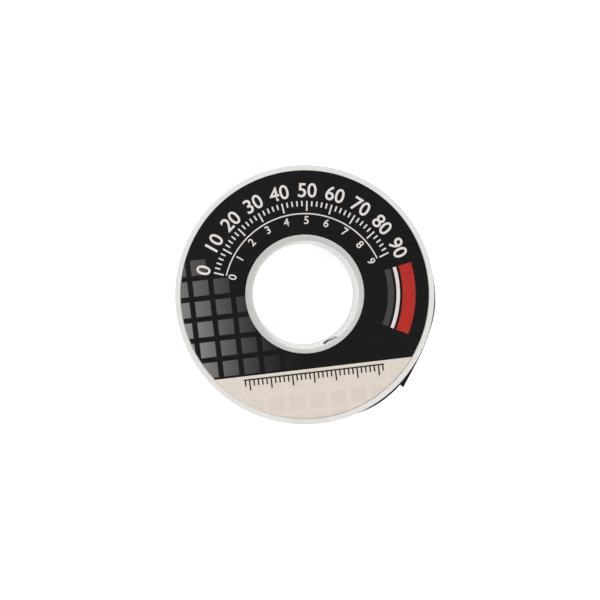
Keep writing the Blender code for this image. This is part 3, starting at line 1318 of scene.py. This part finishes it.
    def cream_film(self) -> PrintedFilm:
        """Choose the finish of the cream segment, whose squares are a little darker than their field.

        Returns:
            The finish.
        """
        return PrintedFilm(
            "cream_label_film",
            field=(0.750, 0.676, 0.604),
            squares=(0.700, 0.627, 0.557),
            tilt=math.radians(self.tilt_deg),
            fade_from=30.0 * MM,
            fade_to=-400.0 * MM,
            floor=-24.0 * MM,
            ceiling=-15.0 * MM,
            falloff=2.2,
        )

    def build(self) -> None:
        """Build and dress the label."""
        white = PrintedInk("white_print", (0.77, 0.72, 0.685)).material()
        black = PrintedInk("black_print", (0.006, 0.006, 0.006)).material()
        red = PrintedInk("red_print", (0.46, 0.018, 0.010)).material()
        grey = PrintedInk("grey_print", (0.050, 0.047, 0.047)).material()
        dressed = [
            (self.film(), self.black_film().material(), ["front_label"]),
            (self.segment(), self.cream_film().material(), []),
            (self.ruler_marks(), black, []),
            (self.scale_marks(), white, []),
            (self.numbers(self.outer_numbers), white, []),
            (self.numbers(self.inner_numbers), white, []),
            (self.stripe(self.red_stripe), red, []),
            (self.stripe(self.white_stripe), white, []),
            (self.stripe(self.grey_stripe), grey, []),
        ]
        for piece, material, nodes in dressed:
            piece.data.transform(Matrix.Translation((*self.off_centre, 0.0)))
            seat(piece, material, nodes)


@dataclass
class Winding:
    """The solder wire: inner layers, the close-wound outer layer, and the start end in the bore."""

    bobbin: Bobbin
    outer_radius: float
    low: float
    high: float
    finish: DrawnSolder = DrawnSolder()
    core: FluxRosin = FluxRosin()
    wire_diameter: float = 0.5 * MM
    turn_spacing: float = 1.006
    turn_points: int = 80
    wire_sides: int = 8
    wander: float = 0.018 * MM
    wander_knots: int = 3
    layer_gap: float = 0.05 * MM
    side_gap: float = 0.16 * MM
    ridge: float = 0.10 * MM
    ridge_points: int = 4
    layer_steps: int = 96
    start_inlet: Point2 = (0.1 * MM, 0.9 * MM)
    start_bend: float = 0.8 * MM
    start_bend_steps: int = 8
    start_run: float = 2.52 * MM
    start_run_steps: int = 16
    start_rise: float = 0.9 * MM
    start_clear: float = 0.14 * MM
    start_bow: float = 0.12 * MM
    start_touch: float = 0.02 * MM
    start_sides: int = 16
    flux_radius: float = 0.11 * MM
    flux_depth: float = 0.3 * MM
    flux_proud: float = 0.015 * MM
    seed: int = 7

    @property
    def wire_radius(self) -> float:
        """Half of the wire's diameter."""
        return self.wire_diameter / 2

    def outer_layer(self) -> bpy.types.Object:
        """Build the outer layer as one close helix that wanders a little from turn to turn.

        Returns:
            The layer.
        """
        chance = random.Random(self.seed)
        low, high = self.low + self.wire_radius, self.high - self.wire_radius
        turns = int((high - low) / (self.turn_spacing * self.wire_diameter))
        knots = [chance.uniform(-1.0, 1.0) for _ in range(self.wander_knots * turns + 2)]
        points = []
        count = turns * self.turn_points
        for i in range(count + 1):
            place = self.wander_knots * i / self.turn_points
            knot = int(place)
            drift = knots[knot] + (knots[knot + 1] - knots[knot]) * eased(place - knot)
            radius = self.outer_radius - self.wire_radius - self.wander * (1.0 + drift)
            height = low + (high - low) * i / count
            points.append(clockwise(radius, 360.0 * i / self.turn_points, height))
        section = round_section(self.wire_radius, self.wire_sides)
        return sweep("wire_outer_turns", stations_of(points), section)

    def inner_layers(self) -> bpy.types.Object:
        """Build the layers below, whose sides show the wire's turns as ridges.

        Returns:
            The layers.
        """
        inner = self.bobbin.barrel_radius + self.layer_gap
        outer = self.outer_radius - self.wire_diameter - self.layer_gap
        count = int((outer - inner) / self.wire_diameter) * self.ridge_points
        side = []
        for i in range(count + 1):
            radius = outer - (outer - inner) * i / count
            ridge = self.ridge * abs(math.sin(math.pi * i / self.ridge_points))
            depth = self.bobbin.inner_depth(radius) + self.side_gap - ridge
            near = radius - self.bobbin.barrel_radius
            if near < self.bobbin.root_fillet:
                depth += self.bobbin.root_fillet - near
            side.append((radius, depth))
        profile = [(radius, self.bobbin.width - depth) for radius, depth in reversed(side)] + side
        return lathe("wire_inner_layers", profile, self.layer_steps)

    def start_route(self) -> list[Vector]:
        """Route of the start end: in through the barrel's hole, off the bore wall, and back at the tip.

        Returns:
            Points along the wire's middle.
        """
        run_radius = self.bobbin.seam_bore - self.wire_radius - self.start_clear
        outside, inside = self.start_inlet
        route = [(self.bobbin.barrel_radius + outside, 0.0, 0.0)]
        route.append((self.bobbin.bore_radius + inside, 0.0, 0.0))
        for i in range(self.start_bend_steps + 1):
            turn = math.radians(90.0) * i / self.start_bend_steps
            inward = run_radius + self.start_bend * (1.0 - math.sin(turn))
            route.append((inward, self.start_bend * (1.0 - math.cos(turn)), 0.0))
        back = self.start_bow + self.start_clear - self.start_touch
        for i in range(1, self.start_run_steps + 1):
            share = i / self.start_run_steps
            stand = back * max(0.0, 2.0 * share - 1.0) ** 2 - self.start_bow * eased(2.0 * share)
            along = self.start_bend + self.start_run * share
            route.append((run_radius + stand, along, self.start_rise * share * share))
        points = []
        for radius, along, up in route:
            degrees = self.bobbin.start_hole_deg + math.degrees(along / run_radius)
            points.append(clockwise(radius, degrees, self.bobbin.start_height + up))
        return points

    def build(self) -> None:
        """Build and dress the wire."""
        solder = self.finish.material()
        route = self.start_route()
        length = sum((after - before).length for before, after in zip(route, route[1:]))
        # Finish of the start end, with painted shade on its wall side and tip.
        shadowed = ShadedSolder(length, self.bobbin.seam_bore)
        section = round_section(self.wire_radius, self.start_sides)
        start = sweep("wire_start", stations_of(route), section)
        end, before = route[-1], route[-2]
        ahead = (end - before).normalized()
        deep, proud = end - ahead * self.flux_depth, end + ahead * self.flux_proud
        tip = rod("flux_core_tip", deep, proud, self.flux_radius, self.start_sides)
        dressed = [
            (self.inner_layers(), solder, ["wire_winding"]),
            (self.outer_layer(), solder, ["wire_outer_layer"]),
            (start, shadowed.material(), ["wire_start_end"]),
            (tip, self.core.material(), []),
        ]
        for piece, material, nodes in dressed:
            seat(piece, material, nodes)


@dataclass
class WrapStrip:
    """The dark strip round the winding, slack at one side, with a loose tail that lifts."""

    winding_radius: float
    low: float
    high: float
    finish: StripPlastic = StripPlastic()
    thickness: float = 0.25 * MM
    seat_gap: float = 0.3 * MM
    layer: float = 0.60 * MM
    lap_deg: float = 110.0
    tip_deg: float = 403.2
    slack: float = 2.67 * MM
    slack_start_deg: float = 0.0
    slack_crest_deg: Point2 = (48.0, 52.0)
    slack_end_deg: float = 104.0
    outer_lap_share: float = 0.672
    outer_lap_start_deg: float = 270.0
    outer_lap_end_deg: float = 360.0
    ripple: float = 0.21 * MM
    ripple_deg: float = 366.0
    ripple_half_deg: float = 15.0
    root_deg: float = 387.5
    root_rise: float = 0.07 * MM
    root_rise_deg: float = 4.5
    tail_lean_deg: float = 0.48
    tail_curl: float = 0.05 * MM
    bend_deg: float = 4.0
    corner: float = 0.05 * MM
    corner_steps: int = 3
    step_deg: float = 1.5

    @property
    def start_deg(self) -> float:
        """Angle of the strip's inner end."""
        return self.tip_deg - 360.0 - self.lap_deg

    @property
    def middle(self) -> float:
        """Height of the strip's middle line."""
        return (self.low + self.high) / 2

    def stand_off(self, degrees: float) -> float:
        """Find how far the strip stands off: the first lap bulges, and the outer lap rides over it.

        Args:
            degrees: Angle along the wound length.

        Returns:
            Distance beyond the plain spiral.
        """
        first, last = self.slack_crest_deg
        rise = (degrees - self.slack_start_deg) / (first - self.slack_start_deg)
        fall = (self.slack_end_deg - degrees) / (self.slack_end_deg - last)
        over = (degrees - self.outer_lap_start_deg) / (self.outer_lap_end_deg - self.outer_lap_start_deg)
        near_ripple = 1.0 - abs(degrees - self.ripple_deg) / self.ripple_half_deg
        near_root = 1.0 + (degrees - self.root_deg) / self.root_rise_deg
        slack = self.slack * (eased(min(rise, fall)) + self.outer_lap_share * eased(over))
        return slack + self.ripple * eased(near_ripple) + self.root_rise * eased(near_root)

    def radius(self, degrees: float) -> float:
        """Find the strip's place along its wound length and its tail, which still curls a little.

        Args:
            degrees: Angle along the wound length.

        Returns:
            Radius of the strip's mid surface.
        """
        if degrees > self.root_deg:
            past = degrees - self.root_deg
            lean = math.radians(self.tail_lean_deg)
            straight = self.radius(self.root_deg) * math.cos(lean) / math.cos(math.radians(past) - lean)
            return straight + self.tail_curl * math.sin(math.pi * past / (self.tip_deg - self.root_deg))
        seated = self.winding_radius + self.seat_gap + self.thickness / 2
        return seated + self.layer * (degrees - self.start_deg) / 360.0 + self.stand_off(degrees)

    def place(self, degrees: float) -> Vector:
        """Point of the strip's middle line at an angle along the wound length."""
        return clockwise(self.radius(degrees), degrees, self.middle)

    def section(self) -> list[Point2]:
        """Draw the rounded section of the strip, thickness by width.

        Returns:
            Its corners.
        """
        half, tall, turn = self.thickness / 2, (self.high - self.low) / 2, self.corner
        points = []
        for centre, start in (
            ((half - turn, tall - turn), 0.0),
            ((turn - half, tall - turn), 90.0),
            ((turn - half, turn - tall), 180.0),
            ((half - turn, turn - tall), 270.0),
        ):
            points += arc(centre, turn, start, start + 90.0, self.corner_steps)
        return points

    def stretch(self, name: str, start: float, end: float) -> bpy.types.Object:
        """Build a stretch of the strip.

        Args:
            name: Piece name.
            start: First angle along the wound length.
            end: Last angle.

        Returns:
            The stretch.
        """
        steps = math.ceil((end - start) / self.step_deg)
        points = [self.place(start + (end - start) * i / steps) for i in range(steps + 1)]
        return sweep(name, stations_of(points), self.section())

    def build(self) -> None:
        """Build and dress the strip: the wound stretch rides on the spool, and the tail end is a piece
        of its own in place of the imported tail.
        """
        plastic = self.finish.material()
        joint = self.root_deg - 2.0 * self.bend_deg
        wound = self.stretch("strip_wound", self.start_deg, joint)
        tail = self.stretch("strip_tail_end", joint, self.tip_deg)
        seat(wound, plastic, ["wrap_strip"])
        paint(tail, plastic)
        self.place(self.root_deg - self.bend_deg)
        self.place(self.root_deg + self.bend_deg)
        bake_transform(tail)
        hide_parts("wrap_strip_tail")
        log.info("%s bends from %s to %s", tail.name, Body.SPOOL.value, Body.TAIL.value)


# The studio


@dataclass(frozen=True)
class Lamp:
    """A soft square lamp."""

    name: str
    place: Point3
    side: float
    power: float


@dataclass
class Studio:
    """Camera, soft lamps, even surroundings and a pale sweep."""

    target: Vector
    eye: Vector
    lens: float
    sensor: float = 36.0
    clip: Point2 = (0.01, 20.0)
    surround: float = 0.28
    sweep_radius: float = 3.0
    sweep_corner: float = 1.0
    sweep_height: float = 2.4
    sweep_below: float = 0.02 * MM
    sweep_weld: float = 0.01 * MM
    sweep_corner_steps: int = 12
    sweep_steps: int = 64
    lamps: Sequence[Lamp] = (
        Lamp("key_lamp", (-0.52, 0.46, 0.80), 0.70, 7.0),
        Lamp("fill_lamp", (0.60, -0.45, 0.80), 0.70, 5.7),
    )

    def camera(self) -> None:
        """Place the camera, with +Y upward in the picture."""
        data = bpy.data.cameras.new("camera")
        data.sensor_width = self.sensor
        data.lens = self.lens
        data.clip_start, data.clip_end = self.clip
        made = bpy.data.objects.new("camera", data)
        bpy.context.scene.collection.objects.link(made)
        ahead = (self.target - self.eye).normalized()
        right = ahead.cross(Vector((0.0, 1.0, 0.0))).normalized()
        up = right.cross(ahead)
        turn = Matrix((right, up, -ahead)).transposed().to_4x4()
        made.matrix_world = Matrix.Translation(self.eye) @ turn
        bpy.context.scene.camera = made

    def light(self) -> None:
        """Hang the lamps and set the surroundings."""
        for lamp in self.lamps:
            data = bpy.data.lights.new(lamp.name, "AREA")
            data.shape = "SQUARE"
            data.size = lamp.side
            data.energy = lamp.power
            made = bpy.data.objects.new(lamp.name, data)
            made.location = lamp.place
            toward = self.target - Vector(lamp.place)
            made.rotation_euler = toward.to_track_quat("-Z", "Y").to_euler()
            bpy.context.scene.collection.objects.link(made)
        world = bpy.data.worlds.new("surroundings")
        world.use_nodes = True
        back = world.node_tree.nodes["Background"]
        back.inputs["Color"].default_value = (1.0, 1.0, 1.0, 1.0)
        back.inputs["Strength"].default_value = self.surround
        bpy.context.scene.world = world

    def backdrop(self) -> None:
        """Lay the sweep: a floor that curves up into a round wall."""
        centre = (self.sweep_radius - self.sweep_corner, self.sweep_corner)
        outline = [(0.0, 0.0)]
        outline += arc(centre, self.sweep_corner, -90.0, 0.0, self.sweep_corner_steps)
        outline.append((self.sweep_radius, self.sweep_height))
        shape = spin(outline, self.sweep_steps, closed=False)
        bmesh.ops.remove_doubles(shape, verts=shape.verts, dist=self.sweep_weld)
        bmesh.ops.translate(shape, verts=shape.verts, vec=(0.0, 0.0, -self.sweep_below))
        floor = new_object("paper_sweep", shape)
        paint(floor, PaperSweep().material())

    def build(self) -> None:
        """Set up the whole studio."""
        self.camera()
        self.light()
        self.backdrop()
        bpy.context.scene.view_settings.view_transform = "Standard"


def main() -> None:
    """Read the sizes of the imported parts, build the pieces in order and set up the studio."""
    logging.basicConfig(level=logging.INFO, format="%(name)s: %(message)s")
    rear_low, rear_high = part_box("rear_half")
    _, front_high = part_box("front_half")
    label_low, label_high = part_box("front_label")
    turns_low, turns_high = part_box("wire_outer_layer")
    strip_low, strip_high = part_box("wrap_strip")
    bobbin = Bobbin(flange_radius=rear_high.x, width=front_high.z, spigot_top=rear_high.z)
    bobbin.build()
    Label(outer_radius=label_high.x - LABEL_TRIM, low=label_low.z, high=label_high.z).build()
    Winding(bobbin, outer_radius=turns_high.x, low=turns_low.z, high=turns_high.z).build()
    WrapStrip(winding_radius=turns_high.x, low=strip_low.z, high=strip_high.z).build()
    studio = Studio(
        target=Vector((-1.146 * MM, -1.174 * MM, bobbin.width)),
        eye=Vector((-6.2 * MM, 2.6 * MM, bobbin.width + 295.0 * MM)),
        lens=76.64,
    )
    studio.build()


if __name__ == "__main__":
    main()
